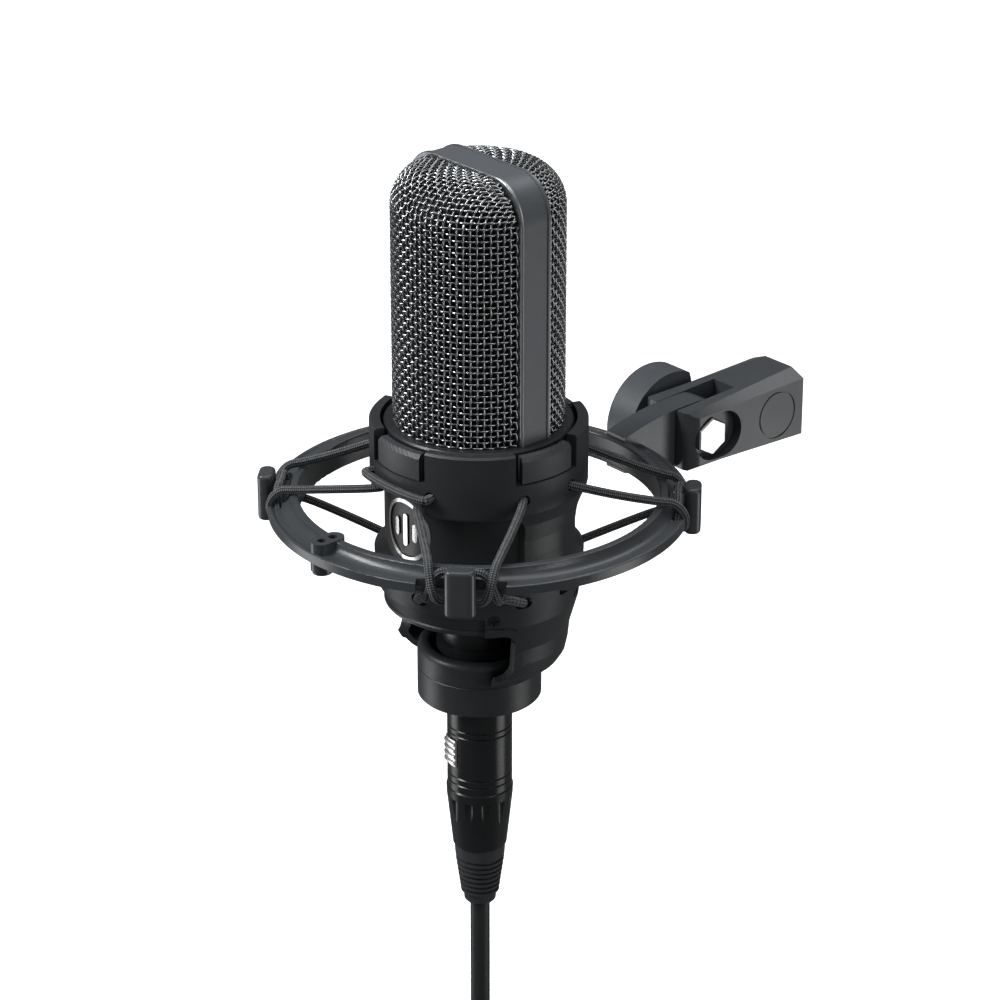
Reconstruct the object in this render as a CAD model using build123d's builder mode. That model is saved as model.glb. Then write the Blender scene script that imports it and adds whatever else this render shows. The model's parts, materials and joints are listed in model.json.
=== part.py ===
from build123d import *
import os
from math import cos, pi, radians, sin, tan

os.makedirs("parts", exist_ok=True)

# Side-address ribbon microphone in an elastic shock mount, with its lead.
# The origin is the mouth of the stand thread. +Z runs up the microphone, -Y is its front.

# ---------------------------------------------------------------- driving dimensions, mm
REACH = 120.5  # stand thread mouth to microphone axis
PIVOT_REACH = 83.1  # microphone axis to tilt pivot
GAP = 0.3  # clearance between bodies that move
WRAP = 0.05  # running clearance of a shaft in its bore

BODY_R, BODY_WALL = 27.3, 2.2
FLANGE_TOP, BODY_BOTTOM = 26.3, -13.8
HEAD_R, HEAD_TOP, HEAD_SHOULDER = 24.8, 102.6, 12.0
BAND_X, BAND_WIDTH, BAND_TOP, BAND_CORNER = 24.9, 11.0, 103.1, 12.0
NECK_R, OUTLET_R, OUTLET_BORE, OUTLET_BOTTOM = 10.9, 9.7, 8.2, -73.5

CRADLE_R, CRADLE_BORE, CRADLE_TOP = 31.4, 28.2, 26.7
PAD_SPAN, NOTCH_SPAN, NOTCH_FLOOR = 34.0, 42.0, 17.3
CORD_R, CORD_HOLE_R = 1.35, 1.7
UPPER_HOLE_H, UPPER_HOLE_TURN = 12.5, 16.0
LOWER_HOLE_H, LOWER_HOLE_TURN = -20.0, 15.0
LEG_HALF, LEG_AZ = 10.8, 97.0
LOCK_R, LOCK_BORE, LOCK_TOP, LOCK_BOTTOM = 18.3, 11.5, -44.6, -61.5

RING_R_IN, RING_R_OUT, RIM_H, LIP_H = 52.0, 61.0, 4.2, 1.3
POST_R, POST_H, POST_WIDTH, POST_THICK = 61.6, 7.1, 8.6, 4.8
POCKET_R, POCKET_HALF = 55.8, 12.5
BOSS_R, BOSS_TOP, BOSS_HOLE_R, BOSS_SPACING = 55.3, 4.5, 1.3, 4.0
ARM_THICK, EYE_R = 8.0, 9.6

CLEVIS_HALF, CLEVIS_NOSE, SLOT_END = 11.0, 73.6, 97.4
BOLT_R, HEX_AF, HEX_RECESS = 3.0, 10.5, 3.4
THREAD_R, THREAD_LENGTH, INSERT_R = 7.6, 16.0, 9.0
KNOB_ARC_R, KNOB_OFFSET, KNOB_THICK, KNOB_LEAN = 17.0, 6.2, 11.0, 43.0

LATCH_AZ, LATCH_WIDTH, LATCH_TOP, LATCH_BOTTOM = -12.0, 5.8, -75.0, -83.6
SLEEVE_TOP, SLEEVE_BOTTOM, BOOT_BOTTOM = -92.3, -112.5, -133.0
NOSE_R, NOSE_TOP = 7.9, -58.5

CABLE_R, CABLE_PITCH = 3.0, 6.2
LEAD_START, LEAD_DROP = -112.0, -175.0  # the lead starts inside its boot and hangs straight to here
BEND_RUN, BEND_TURN = 20.0, 31.0
COIL_MID_R, COIL_LAYERS, COIL_COLUMNS = 33.0, 3, 4
TAIL_DROP = 84.0  # coil centre to the end of the cable

MIC_AXIS = Axis((0, -REACH, 0), (0, 0, 1))
SECTION = Plane.XZ.offset(REACH)  # local x is the radius at +X, local y the height
PIVOT_Y = PIVOT_REACH - REACH


def level(height):
    """Horizontal plane centred on the microphone axis."""
    return Plane((0, -REACH, height))


def around(radius, azimuth, height=0.0):
    """Point at an azimuth counted from the front towards +X."""
    turn = radians(azimuth)
    return Vector(radius * sin(turn), -REACH - radius * cos(turn), height)


def section_at(azimuth):
    """Upright plane through the microphone axis, its x along the azimuth."""
    turn = radians(azimuth)
    return Plane((0, -REACH, 0), (sin(turn), -cos(turn), 0), (-cos(turn), -sin(turn), 0))


def outward(radius, azimuth, height):
    """Plane that faces outward at an azimuth, its x level and its y upright."""
    turn = radians(azimuth)
    origin = around(radius, azimuth, height)
    return Plane(origin, (cos(turn), sin(turn), 0), (sin(turn), -cos(turn), 0))


def outline(points, plane=SECTION):
    """Closed face through radius and height points."""
    with BuildSketch(plane) as sketch:
        with BuildLine():
            Polyline(*points, close=True)
        make_face()
    return sketch.sketch


def rod(start, end, radius):
    """Straight round rod between two points."""
    way = Vector(*end) - Vector(*start)
    with BuildPart() as piece:
        with BuildSketch(Plane(Vector(*start), z_dir=way)):
            Circle(radius)
        extrude(amount=way.length)
    return piece.part


def hoop(radius, azimuth, height, turn, thickness):
    """Round cord bent about the microphone axis, centred on an azimuth."""
    with BuildPart() as piece:
        with BuildSketch(section_at(azimuth - turn)):
            with Locations((radius, height)):
                Circle(thickness)
        revolve(axis=MIC_AXIS, revolution_arc=2 * turn)
    return piece.part


# ================================================================ stand adapter
def clevis_end(y, half_height, flat_half, side_half):
    """Eight-sided end of the forked block, widest at its sides."""
    side = CLEVIS_HALF
    quarter = [(side, side_half), (flat_half, half_height)]
    left = [(-x, z) for x, z in reversed(quarter)]
    lower = [(x, -z) for x, z in reversed(quarter + left)]
    return outline(quarter + left + lower, Plane.XZ.offset(-y))


with BuildPart() as clevis:
    loft([clevis_end(CLEVIS_NOSE - REACH, 9.2, 9.0, 7.6), clevis_end(0, 11.4, 5.7, 9.2)], ruled=True)
    fillet(clevis.edges().filter_by(Axis.Z).group_by(Axis.Y)[0], 4.5)
    with BuildSketch(Plane.XY):
        with Locations((0, (CLEVIS_NOSE + SLOT_END) / 2 - REACH)):
            Rectangle(ARM_THICK + 2 * GAP + 0.4, SLOT_END - CLEVIS_NOSE)
    extrude(amount=15, both=True, mode=Mode.SUBTRACT)
    with BuildSketch(Plane.YZ):
        with Locations((PIVOT_Y, 0)):
            Circle(BOLT_R + 0.2)
    extrude(amount=15, both=True, mode=Mode.SUBTRACT)
    with BuildSketch(Plane.YZ.offset(CLEVIS_HALF - HEX_RECESS)):
        with Locations((PIVOT_Y + 2.0, 0)):
            SlotOverall(18.6, 14.6)
    extrude(amount=5, mode=Mode.SUBTRACT)
    for side in (-1, 1):
        with BuildSketch(Plane.YZ.offset(side * CLEVIS_HALF)):
            with Locations((-10.9, 0)):
                Circle(7.6)
                Circle(7.1, mode=Mode.SUBTRACT)
        extrude(amount=-side * 0.35, mode=Mode.SUBTRACT)
    with BuildSketch(Plane.XZ):
        Circle(INSERT_R)
    extrude(amount=THREAD_LENGTH + 2, mode=Mode.SUBTRACT)
clevis.part.label = "clevis_block"
export_step(clevis.part, "parts/clevis_block.step")

with BuildPart() as insert:
    with BuildSketch(Plane.XZ):
        Circle(INSERT_R)
        Circle(THREAD_R, mode=Mode.SUBTRACT)
    extrude(amount=THREAD_LENGTH)
insert.part.label = "thread_insert"
export_step(insert.part, "parts/thread_insert.step")

with BuildPart() as bolt:
    head_inner = CLEVIS_HALF - HEX_RECESS
    with BuildSketch(Plane.YZ.offset(head_inner)):
        with Locations((PIVOT_Y, 0)):
            RegularPolygon(HEX_AF / 2, 6, major_radius=False, rotation=30)
    extrude(amount=HEX_RECESS - 0.5)
    chamfer(bolt.edges().group_by(Axis.X)[-1], 0.4)
    with BuildSketch(Plane.YZ.offset(head_inner)):
        with Locations((PIVOT_Y, 0)):
            Circle(BOLT_R)
    extrude(amount=-(head_inner + CLEVIS_HALF + KNOB_THICK - 0.1))
bolt.part.label = "pivot_bolt"
export_step(bolt.part, "parts/pivot_bolt.step")

with BuildPart() as washer:
    with BuildSketch(Plane.YZ.offset(-CLEVIS_HALF - 1.2)):
        with Locations((PIVOT_Y, 0)):
            Circle(7.5)
            Circle(BOLT_R + 0.2, mode=Mode.SUBTRACT)
    extrude(amount=1.0)
washer.part.label = "knob_washer"
export_step(washer.part, "parts/knob_washer.step")

with BuildPart() as knob:
    across = Vector(-sin(radians(KNOB_LEAN)), cos(radians(KNOB_LEAN)))
    with BuildSketch(Plane.YZ.offset(-CLEVIS_HALF - 1.4)):
        with Locations((PIVOT_Y - across.X * KNOB_OFFSET, -across.Y * KNOB_OFFSET)):
            Circle(KNOB_ARC_R)
        with Locations((PIVOT_Y + across.X * KNOB_OFFSET, across.Y * KNOB_OFFSET)):
            Circle(KNOB_ARC_R, mode=Mode.INTERSECT)
    extrude(amount=-KNOB_THICK)
    fillet(knob.edges().filter_by(Axis.X), 0.8)
    fillet(knob.edges().group_by(Axis.X)[0], 1.0)
    with BuildSketch(Plane.YZ.offset(-CLEVIS_HALF - 1.4)):
        with Locations((PIVOT_Y, 0)):
            Circle(5.0)
    extrude(amount=-KNOB_THICK + 1.0, mode=Mode.SUBTRACT)
knob.part.label = "tightening_knob"
export_step(knob.part, "parts/tightening_knob.step")

with BuildPart() as knob_core:
    with BuildSketch(Plane.YZ.offset(-CLEVIS_HALF - 1.4)):
        with Locations((PIVOT_Y, 0)):
            Circle(5.0)
            Circle(BOLT_R + WRAP, mode=Mode.SUBTRACT)
    extrude(amount=-KNOB_THICK + 1.0)
knob_core.part.label = "knob_core"
export_step(knob_core.part, "parts/knob_core.step")

# ================================================================ suspension ring
with BuildPart() as ring:
    with BuildSketch(SECTION):
        with BuildLine():
            Line((RING_R_IN, 0), (RING_R_IN, RIM_H - 0.6))
            RadiusArc((RING_R_IN, RIM_H - 0.6), (RING_R_IN + 0.6, RIM_H), 0.6)
            Line((RING_R_IN + 0.6, RIM_H), (54.1, RIM_H))
            RadiusArc((54.1, RIM_H), (54.5, RIM_H - 0.4), 0.4)
            ThreePointArc((54.5, RIM_H - 0.4), (55.3, 2.2), (57.4, 1.1))
            Line((57.4, 1.1), (59.3, 1.1))
            RadiusArc((59.3, 1.1), (59.6, LIP_H), -0.4)
            RadiusArc((59.6, LIP_H), (RING_R_OUT, LIP_H), 0.95)
            Line((RING_R_OUT, LIP_H), (RING_R_OUT, 0))
            mirror(about=Plane.XZ)
        make_face()
    revolve(axis=MIC_AXIS)
    with BuildSketch(level(-10)):
        with PolarLocations((POCKET_R + 66) / 2, 4, 45):
            Rectangle(66 - POCKET_R, 2 * POCKET_HALF)
    extrude(amount=20, mode=Mode.SUBTRACT)
    with BuildSketch(level(-3)):
        with PolarLocations(58, 4, 45):
            Rectangle(6, 6)
    extrude(amount=6)
    with BuildSketch(level(-POST_H)):
        with PolarLocations(POST_R, 4, 45):
            RectangleRounded(POST_THICK, POST_WIDTH, 2.2)
    extrude(amount=2 * POST_H)
    fillet(ring.edges().group_by(Axis.Z)[-1] + ring.edges().group_by(Axis.Z)[0], 1.1)
    with BuildSketch(level(-RIM_H)):
        with Locations((0, -BOSS_R)):
            SlotOverall(10.7, 5.8, rotation=90)
    extrude(amount=RIM_H + BOSS_TOP)
    with BuildSketch(level(-5.2)):
        with Locations((0, -BOSS_R - BOSS_SPACING / 2)):
            Circle(2.8)
    extrude(amount=3)
    with BuildSketch(level(BOSS_TOP)):
        with Locations((0, -BOSS_R)):
            with GridLocations(1, BOSS_SPACING, 1, 2):
                Circle(BOSS_HOLE_R)
    extrude(amount=-15, mode=Mode.SUBTRACT)
    with BuildSketch(Plane.YZ.offset(-ARM_THICK / 2)):
        with BuildLine():
            ring_end = RING_R_IN + 1.2 - REACH
            Polyline((ring_end, -5.6), (ring_end, 5.6))
            Spline((ring_end, 5.6), (69 - REACH, 8.9), (PIVOT_Y, EYE_R), tangents=((1, 0.3), (1, 0)))
            ThreePointArc((PIVOT_Y, EYE_R), (PIVOT_Y + EYE_R, 0), (PIVOT_Y, -EYE_R))
            Spline((PIVOT_Y, -EYE_R), (69 - REACH, -8.9), (ring_end, -5.6), tangents=((-1, 0), (-1, 0.3)))
        make_face()
    extrude(amount=ARM_THICK)
    with BuildSketch(Plane.YZ):
        with Locations((PIVOT_Y, 0)):
            Circle(5.0)
    extrude(amount=10, both=True, mode=Mode.SUBTRACT)
ring.part.label = "suspension_ring"
export_step(ring.part, "parts/suspension_ring.step")

with BuildPart() as bush:
    with BuildSketch(Plane.YZ):
        with Locations((PIVOT_Y, 0)):
            Circle(5.0)
            Circle(BOLT_R + WRAP, mode=Mode.SUBTRACT)
    extrude(amount=ARM_THICK / 2 + 0.15, both=True)
bush.part.label = "pivot_bush"
export_step(bush.part, "parts/pivot_bush.step")

# ================================================================ cradle
SKIN = [  # outer radius and height, from the top band down to the skirt's lip
    (CRADLE_R, CRADLE_TOP - 0.6), (CRADLE_R, 8.0), (30.2, 4.0), (29.5, -1.0), (29.6, -6.0),
    (30.4, -13.5), (30.2, -18.0), (29.0, -28.0), (26.5, -37.0), (26.0, -42.0), (25.3, -45.4),
    (23.8, -47.8), (21.4, -49.8), (LOCK_R + GAP, -51.2),
]
LINING = [  # inner radius and height, from the skirt's lip up to the top band
    (LOCK_R + GAP, -49.0), (20.6, -48.0), (22.6, -45.8), (23.5, -42.0), (24.0, -37.0), (26.4, -28.0),
    (27.3, -18.0), (27.3, 5.0), (CRADLE_BORE, 8.0), (CRADLE_BORE, CRADLE_TOP), (CRADLE_R - 0.6, CRADLE_TOP),
]
WINDOW_AZ, WINDOW_TOP, WINDOW_BOTTOM, WINDOW_CORNER, WINDOW_MOUTH = 71.5, -30.0, -46.0, 4.5, 60.0
RIB_WIDTH, RIB_RISE = 2.3, 0.8


def window_space(margin):
    """Front opening of the skirt as a solid with rounded corners, grown by a margin."""
    turn = WINDOW_AZ + margin * 2.4
    low, high = WINDOW_BOTTOM - margin, WINDOW_TOP + margin
    with BuildPart() as space:
        revolve(outline([(16, low), (33, low), (33, high), (16, high)], section_at(-turn)), MIC_AXIS, 2 * turn)
        ends = space.edges().filter_by(GeomType.LINE).group_by(Axis.Z)
        fillet(ends[-1] + ends[0], WINDOW_CORNER + margin)
    return space.part


with BuildPart() as window_rib:
    thick = [(radius + RIB_RISE, height) for radius, height in SKIN[5:-1]]
    revolve(outline(thick + LINING[1:6]), axis=MIC_AXIS)
    add(window_space(RIB_WIDTH), mode=Mode.INTERSECT)

with BuildPart() as cradle_leg:
    revolve(outline([(27.3, -17.0), (30.3, -17.0)] + SKIN[5:0:-1] + [(CRADLE_R, 9.5), (CRADLE_BORE, 9.5)]
                    + [(CRADLE_BORE, 8.0), (27.3, 5.0)]), axis=MIC_AXIS)
    with BuildSketch(outward(0, LEG_AZ, 0)):
        with BuildLine():
            Polyline((0, 9.5), (LEG_HALF + 6, 9.5), (LEG_HALF + 6, 7.4))
            RadiusArc((LEG_HALF + 6, 7.4), (LEG_HALF, 1.4), -6)
            Line((LEG_HALF, 1.4), (LEG_HALF, -7.0))
            RadiusArc((LEG_HALF, -7.0), (LEG_HALF + 4.5, -11.5), -4.5)
            Polyline((LEG_HALF + 4.5, -11.5), (LEG_HALF + 4.5, -17.0), (0, -17.0))
            mirror(about=Plane.YZ)
        make_face()
    extrude(amount=40, mode=Mode.INTERSECT)

with BuildPart() as cradle:
    revolve(outline(SKIN + LINING), axis=MIC_AXIS)
    add(window_rib.part)
    opening = [(26, 7.4), (33, 7.4), (33, -14.2), (30.4, -13.8), (27.0, -12.4), (26, -12.4)]
    revolve(outline(opening), axis=MIC_AXIS, mode=Mode.SUBTRACT)
    brow = [(26, 7.0), (33, 7.0), (33, 11.2), (26, 10.6)]
    revolve(outline(brow, section_at(-20.5)), MIC_AXIS, 41, mode=Mode.SUBTRACT)
    add(cradle_leg.part)
    mirror(cradle_leg.part, about=Plane.YZ)
    notch = [(26, NOTCH_FLOOR), (33, NOTCH_FLOOR), (33, 28), (26, 28)]
    groove = [(27, 10.9), (30.7, 10.9), (30.7, 14.1), (27, 14.1)]
    for side in (0, 90, 180, 270):
        revolve(outline(notch, section_at(side - NOTCH_SPAN / 2)), MIC_AXIS, NOTCH_SPAN, mode=Mode.SUBTRACT)
        revolve(outline(groove, section_at(side - 17)), MIC_AXIS, 34, mode=Mode.SUBTRACT)
        for turn in (-1, 1):
            upper = outward(27, side + turn * UPPER_HOLE_TURN, UPPER_HOLE_H)
            lower = outward(25, side + turn * LOWER_HOLE_TURN, LOWER_HOLE_H)
            with BuildSketch(lower):
                SlotOverall(5.4, 2 * CORD_HOLE_R)
            extrude(amount=9, mode=Mode.SUBTRACT)
            if side:
                with BuildSketch(upper):
                    Circle(CORD_HOLE_R)
                extrude(amount=9, mode=Mode.SUBTRACT)
            else:
                with BuildSketch(outward(27, turn * 24, 13.4)):
                    Circle(CORD_HOLE_R)
                extrude(amount=9, mode=Mode.SUBTRACT)
                with BuildSketch(outward(29.6, turn * 16, 9.0).rotated((90, 0, 0))):
                    Circle(CORD_HOLE_R)
                extrude(amount=6, both=True, mode=Mode.SUBTRACT)
    recess = [(28.1, -24.2), (33, -24.2), (33, -31), (26.9, -31)]
    revolve(outline(recess, section_at(-53)), MIC_AXIS, 106, mode=Mode.SUBTRACT)
    add(window_space(0), mode=Mode.SUBTRACT)
    mouth = [(16, -58), (33, -58), (33, -40), (16, -40)]
    revolve(outline(mouth, section_at(-WINDOW_MOUTH)), MIC_AXIS, 2 * WINDOW_MOUTH, mode=Mode.SUBTRACT)
    bead = [(26.0, -30.2), (27.4, -30.2), (27.8, -29.8), (27.8, -29.0), (27.4, -28.6), (26.5, -28.6)]
    revolve(outline(bead, section_at(-64)), MIC_AXIS, 128)
    for azimuth in (-58, 58, 122, -122):
        with BuildSketch(outward(28.5, azimuth, -24.8)):
            Circle(1.8)
        extrude(amount=4, mode=Mode.SUBTRACT)
cradle.part.label = "cradle"
export_step(cradle.part, "parts/cradle.step")

with BuildPart() as pads:
    for side in (0, 90, 180, 270):
        block = [(28.0, 17.6), (30.9, 17.6), (30.9, 24.1), (30.0, 25.3), (28.0, 25.3)]
        revolve(outline(block, section_at(side - PAD_SPAN / 2)), MIC_AXIS, PAD_SPAN)
pads.part.label = "grip_pads"
export_step(pads.part, "parts/grip_pads.step")

with BuildPart() as cradle_screws:
    for azimuth in (-58, 58, 122, -122):
        with BuildSketch(outward(28.5, azimuth, -24.8)):
            Circle(1.65)
        extrude(amount=1.0)
        with BuildSketch(outward(29.5, azimuth, -24.8)):
            Rectangle(2.4, 0.5)
            Rectangle(0.5, 2.4)
        extrude(amount=-0.6, mode=Mode.SUBTRACT)
cradle_screws.part.label = "cradle_screws"
export_step(cradle_screws.part, "parts/cradle_screws.step")

with BuildPart() as lock_ring:
    wall = [(LOCK_BORE, LOCK_BOTTOM), (LOCK_R - 0.5, LOCK_BOTTOM), (LOCK_R, LOCK_BOTTOM + 0.5)]
    wall += [(LOCK_R, -52.2), (LOCK_R - 0.2, -52.0), (LOCK_R, -51.8), (LOCK_R, LOCK_TOP), (14.0, LOCK_TOP)]
    revolve(outline(wall + [(14.0, -47.4), (LOCK_BORE, -47.4)]), axis=MIC_AXIS)
    fillet(lock_ring.edges().group_by(Axis.Z)[-1], 2.0)
lock_ring.part.label = "lock_ring"
export_step(lock_ring.part, "parts/lock_ring.step")

# ================================================================ elastic suspension
HOLD_R, HOLD_H = 53.5, RIM_H + CORD_R + 0.35  # where each strand crosses the ring's rim

with BuildPart() as upper_strands:
    for post in (45, 135, 225, 315):
        for turn in (-1, 1):
            hole = post + turn * (45 - UPPER_HOLE_TURN)
            front = abs((hole + 180) % 360 - 180) < 45
            start = around(30.9, hole, 9.6) if front else around(32.0, hole, UPPER_HOLE_H)
            add(rod(start, around(HOLD_R - 0.6, post + turn * 10.4, HOLD_H), CORD_R))
upper_strands.part.label = "upper_strands"
export_step(upper_strands.part, "parts/upper_strands.step")

with BuildPart() as lower_strands:
    for post in (45, 135, 225, 315):
        for turn in (-1, 1):
            hole = post + turn * (45 - LOWER_HOLE_TURN)
            hold = around(HOLD_R - 0.6, post + turn * 11.4, -HOLD_H)
            add(rod(around(30.9, hole, LOWER_HOLE_H), hold, CORD_R))
lower_strands.part.label = "lower_strands"
export_step(lower_strands.part, "parts/lower_strands.step")

OVER_WRAP = [(HOLD_R + 0.6, 10.4, HOLD_H), (57.6, 9.4, 5.0), (60.2, 7.9, 0.0), (57.6, 4.6, -4.6)]
UNDER_WRAP = [(HOLD_R + 0.6, 11.4, -HOLD_H), (57.0, 9.6, -4.8), (57.3, 7.3, 0.0), (57.6, 4.4, 4.6)]

with BuildPart() as post_wraps:
    for post in (45, 135, 225, 315):
        for half in (OVER_WRAP, UNDER_WRAP):
            first = [around(radius, post - turn, height) for radius, turn, height in half]
            second = [around(radius, post + turn, height) for radius, turn, height in reversed(half)]
            with BuildLine() as way:
                FilletPolyline(*first, *second, radius=(1.4,) * 6)
            with BuildSketch(Plane(first[0], z_dir=first[1] - first[0])):
                Circle(CORD_R)
            sweep(path=way.line)
post_wraps.part.label = "post_wraps"
export_step(post_wraps.part, "parts/post_wraps.step")

with BuildPart() as cord_bridges:
    for side in (90, 180, 270):
        add(hoop(29.2, side, UPPER_HOLE_H, UPPER_HOLE_TURN - 0.5, CORD_R))
    add(hoop(CRADLE_R + CORD_R + 0.1, 0, 13.4, 24, CORD_R))
    for side in (0, 90, 180, 270):
        add(hoop(25.7, side, LOWER_HOLE_H, LOWER_HOLE_TURN, CORD_R))
cord_bridges.part.label = "cord_bridges"
export_step(cord_bridges.part, "parts/cord_bridges.step")

# ================================================================ microphone shell
BADGE_H, BADGE_R = -1.2, 9.3


def badge_layer(radius_in, radius_out, half_width, bars=False):
    """Disc curved with the body, with three upright bars left out on request."""
    with BuildPart() as layer:
        span = [(radius_in, -13), (radius_out, -13), (radius_out, 11), (radius_in, 11)]
        revolve(outline(span), axis=MIC_AXIS)
        with BuildSketch(SECTION):
            with Locations((0, BADGE_H)):
                Circle(half_width)
            if bars:
                for place, tall in ((-3.9, 5.6), (0, 9.8), (3.9, 5.6)):
                    with Locations((place, BADGE_H)):
                        SlotOverall(tall, 1.7, rotation=90, mode=Mode.SUBTRACT)
        extrude(amount=40, mode=Mode.INTERSECT)
    return layer.part


with BuildPart() as body_tube:
    wall = [(BODY_R - BODY_WALL, BODY_BOTTOM), (BODY_R, BODY_BOTTOM), (BODY_R, FLANGE_TOP - 2.1)]
    revolve(outline(wall + [(BODY_R - BODY_WALL, FLANGE_TOP - 2.1)]), axis=MIC_AXIS)
    add(badge_layer(BODY_R - 1.0, 29, BADGE_R + 0.05), mode=Mode.SUBTRACT)
body_tube.part.label = "body_tube"
export_step(body_tube.part, "parts/body_tube.step")

with BuildPart() as badge:
    add(badge_layer(BODY_R - 0.95, BODY_R + 0.15, BADGE_R))
    add(badge_layer(BODY_R - 0.35, 29, BADGE_R - 1.1, bars=True), mode=Mode.SUBTRACT)
badge.part.label = "badge"
export_step(badge.part, "parts/badge.step")

with BuildPart() as head_base:
    flange = [(3, FLANGE_TOP - 4), (BODY_R - BODY_WALL, FLANGE_TOP - 4), (BODY_R - BODY_WALL, FLANGE_TOP - 2)]
    flange += [(BODY_R, FLANGE_TOP - 2), (BODY_R, FLANGE_TOP - 0.5)]
    flange += [(BODY_R - 0.5, FLANGE_TOP), (3, FLANGE_TOP)]
    revolve(outline(flange), axis=MIC_AXIS)
    with BuildSketch(level(FLANGE_TOP)):
        with GridLocations(14, 0, 2, 1):
            Circle(1.1)
    extrude(amount=-6, mode=Mode.SUBTRACT)
head_base.part.label = "head_base"
export_step(head_base.part, "parts/head_base.step")


def dome(radius, top, shoulder, start):
    """Solid of a round head with a rounded shoulder, standing on the flange."""
    with BuildPart() as solid:
        with BuildSketch(SECTION):
            with Locations((0, start)):
                Rectangle(radius, top - start, align=Align.MIN)
            fillet(vertices().group_by(Axis.Y)[-1].sort_by(Axis.X)[-1], shoulder)
        revolve(axis=MIC_AXIS)
    return solid.part


def half_heads(radius, wall, parting):
    """Front and rear halves of a thin domed shell, parted by the frame band."""
    with BuildPart() as shell:
        add(dome(radius, HEAD_TOP - HEAD_R + radius, HEAD_SHOULDER, FLANGE_TOP + 0.02))
        inside = radius - wall
        add(dome(inside, HEAD_TOP - HEAD_R + inside, HEAD_SHOULDER - wall, FLANGE_TOP), mode=Mode.SUBTRACT)
        with BuildSketch(level(FLANGE_TOP)):
            Rectangle(80, parting)
        extrude(amount=90, mode=Mode.SUBTRACT)
    return shell.part


with BuildPart() as front_grille:
    add(half_heads(HEAD_R, 1.3, BAND_WIDTH + 0.1))
    split(bisect_by=SECTION, keep=Keep.TOP)
front_grille.part.label = "front_grille"
export_step(front_grille.part, "parts/front_grille.step")

with BuildPart() as rear_grille:
    add(half_heads(HEAD_R, 1.3, BAND_WIDTH + 0.1))
    split(bisect_by=SECTION, keep=Keep.BOTTOM)
rear_grille.part.label = "rear_grille"
export_step(rear_grille.part, "parts/rear_grille.step")

with BuildPart() as fine_mesh:
    add(half_heads(HEAD_R - 1.6, 0.5, BAND_WIDTH + 0.1))
fine_mesh.part.label = "fine_mesh"
export_step(fine_mesh.part, "parts/fine_mesh.step")


def arch(half_width, top, corner, foot):
    """Upright arch outline in the plane across the microphone."""
    with BuildSketch(SECTION) as sketch:
        with Locations((0, foot)):
            Rectangle(2 * half_width, top - foot, align=(Align.CENTER, Align.MIN))
        fillet(sketch.vertices().group_by(Axis.Y)[-1], corner)
    return sketch.sketch


with BuildPart() as head_frame:
    foot = FLANGE_TOP + 0.02
    extrude(arch(BAND_X, BAND_TOP, BAND_CORNER, foot), amount=BAND_WIDTH / 2, both=True)
    fillet(head_frame.edges().group_by(Axis.Y)[0].filter_by_position(Axis.Z, foot + 1, 200), 0.75)
    fillet(head_frame.edges().group_by(Axis.Y)[-1].filter_by_position(Axis.Z, foot + 1, 200), 0.75)
    extrude(arch(BAND_X + 9, BAND_TOP + 9, BAND_CORNER, foot - 9), amount=4.2, both=True, mode=Mode.SUBTRACT)
    core = arch(BAND_X - 0.35, BAND_TOP - 0.35, BAND_CORNER - 0.35, foot)
    extrude(core, amount=BAND_WIDTH / 2 - 0.01, both=True)
    inside = arch(BAND_X - 3.2, BAND_TOP - 3.2, BAND_CORNER - 3.2, foot - 1)
    extrude(inside, amount=9, both=True, mode=Mode.SUBTRACT)
head_frame.part.label = "head_frame"
export_step(head_frame.part, "parts/head_frame.step")

with BuildPart() as bottom_cap:
    with BuildSketch(SECTION):
        with BuildLine():
            Line((25.0, BODY_BOTTOM + 3), (25.0, BODY_BOTTOM - 0.05))
            Polyline((25.0, BODY_BOTTOM - 0.05), (BODY_R, BODY_BOTTOM - 0.05), (BODY_R, -14.4))
            ThreePointArc((BODY_R, -14.4), (20.2, -21.8), (NECK_R, -33.0))
            Polyline((NECK_R, -33.0), (NECK_R, -43.0), (12.6, -43.4), (12.6, -46.1), (NECK_R, -46.1))
            Polyline((NECK_R, -46.1), (NECK_R, -59.5), (OUTLET_R + 0.3, -60.3), (OUTLET_R + 0.05, -60.3))
            Polyline((OUTLET_R + 0.05, -60.3), (OUTLET_R + 0.05, -34.4), (18.6, -20.5), (22.4, -14.5),
                     (22.4, BODY_BOTTOM + 3))
            Line((22.4, BODY_BOTTOM + 3), (25.0, BODY_BOTTOM + 3))
        make_face()
    revolve(axis=MIC_AXIS)
bottom_cap.part.label = "bottom_cap"
export_step(bottom_cap.part, "parts/bottom_cap.step")

with BuildPart() as outlet_shell:
    tube = [(OUTLET_BORE, OUTLET_BOTTOM), (OUTLET_R - 0.3, OUTLET_BOTTOM), (OUTLET_R, OUTLET_BOTTOM + 0.3)]
    tube += [(OUTLET_R, OUTLET_BOTTOM + 1.6), (OUTLET_R - 0.3, OUTLET_BOTTOM + 1.9), (OUTLET_R, OUTLET_BOTTOM + 2.2)]
    revolve(outline(tube + [(OUTLET_R, -36), (OUTLET_BORE, -36)]), axis=MIC_AXIS)
outlet_shell.part.label = "outlet_shell"
export_step(outlet_shell.part, "parts/outlet_shell.step")

# ================================================================ inside the microphone
PIN_PLACES = [(4.6 * sin(radians(turn)), -4.6 * cos(radians(turn))) for turn in (70, 180, 290)]

with BuildPart() as outlet_insert:
    with BuildSketch(level(-57.5)):
        Circle(OUTLET_BORE - 0.05)
        with Locations(*PIN_PLACES):
            Circle(1.25, mode=Mode.SUBTRACT)
    extrude(amount=6)
outlet_insert.part.label = "outlet_insert"
export_step(outlet_insert.part, "parts/outlet_insert.step")

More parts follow.
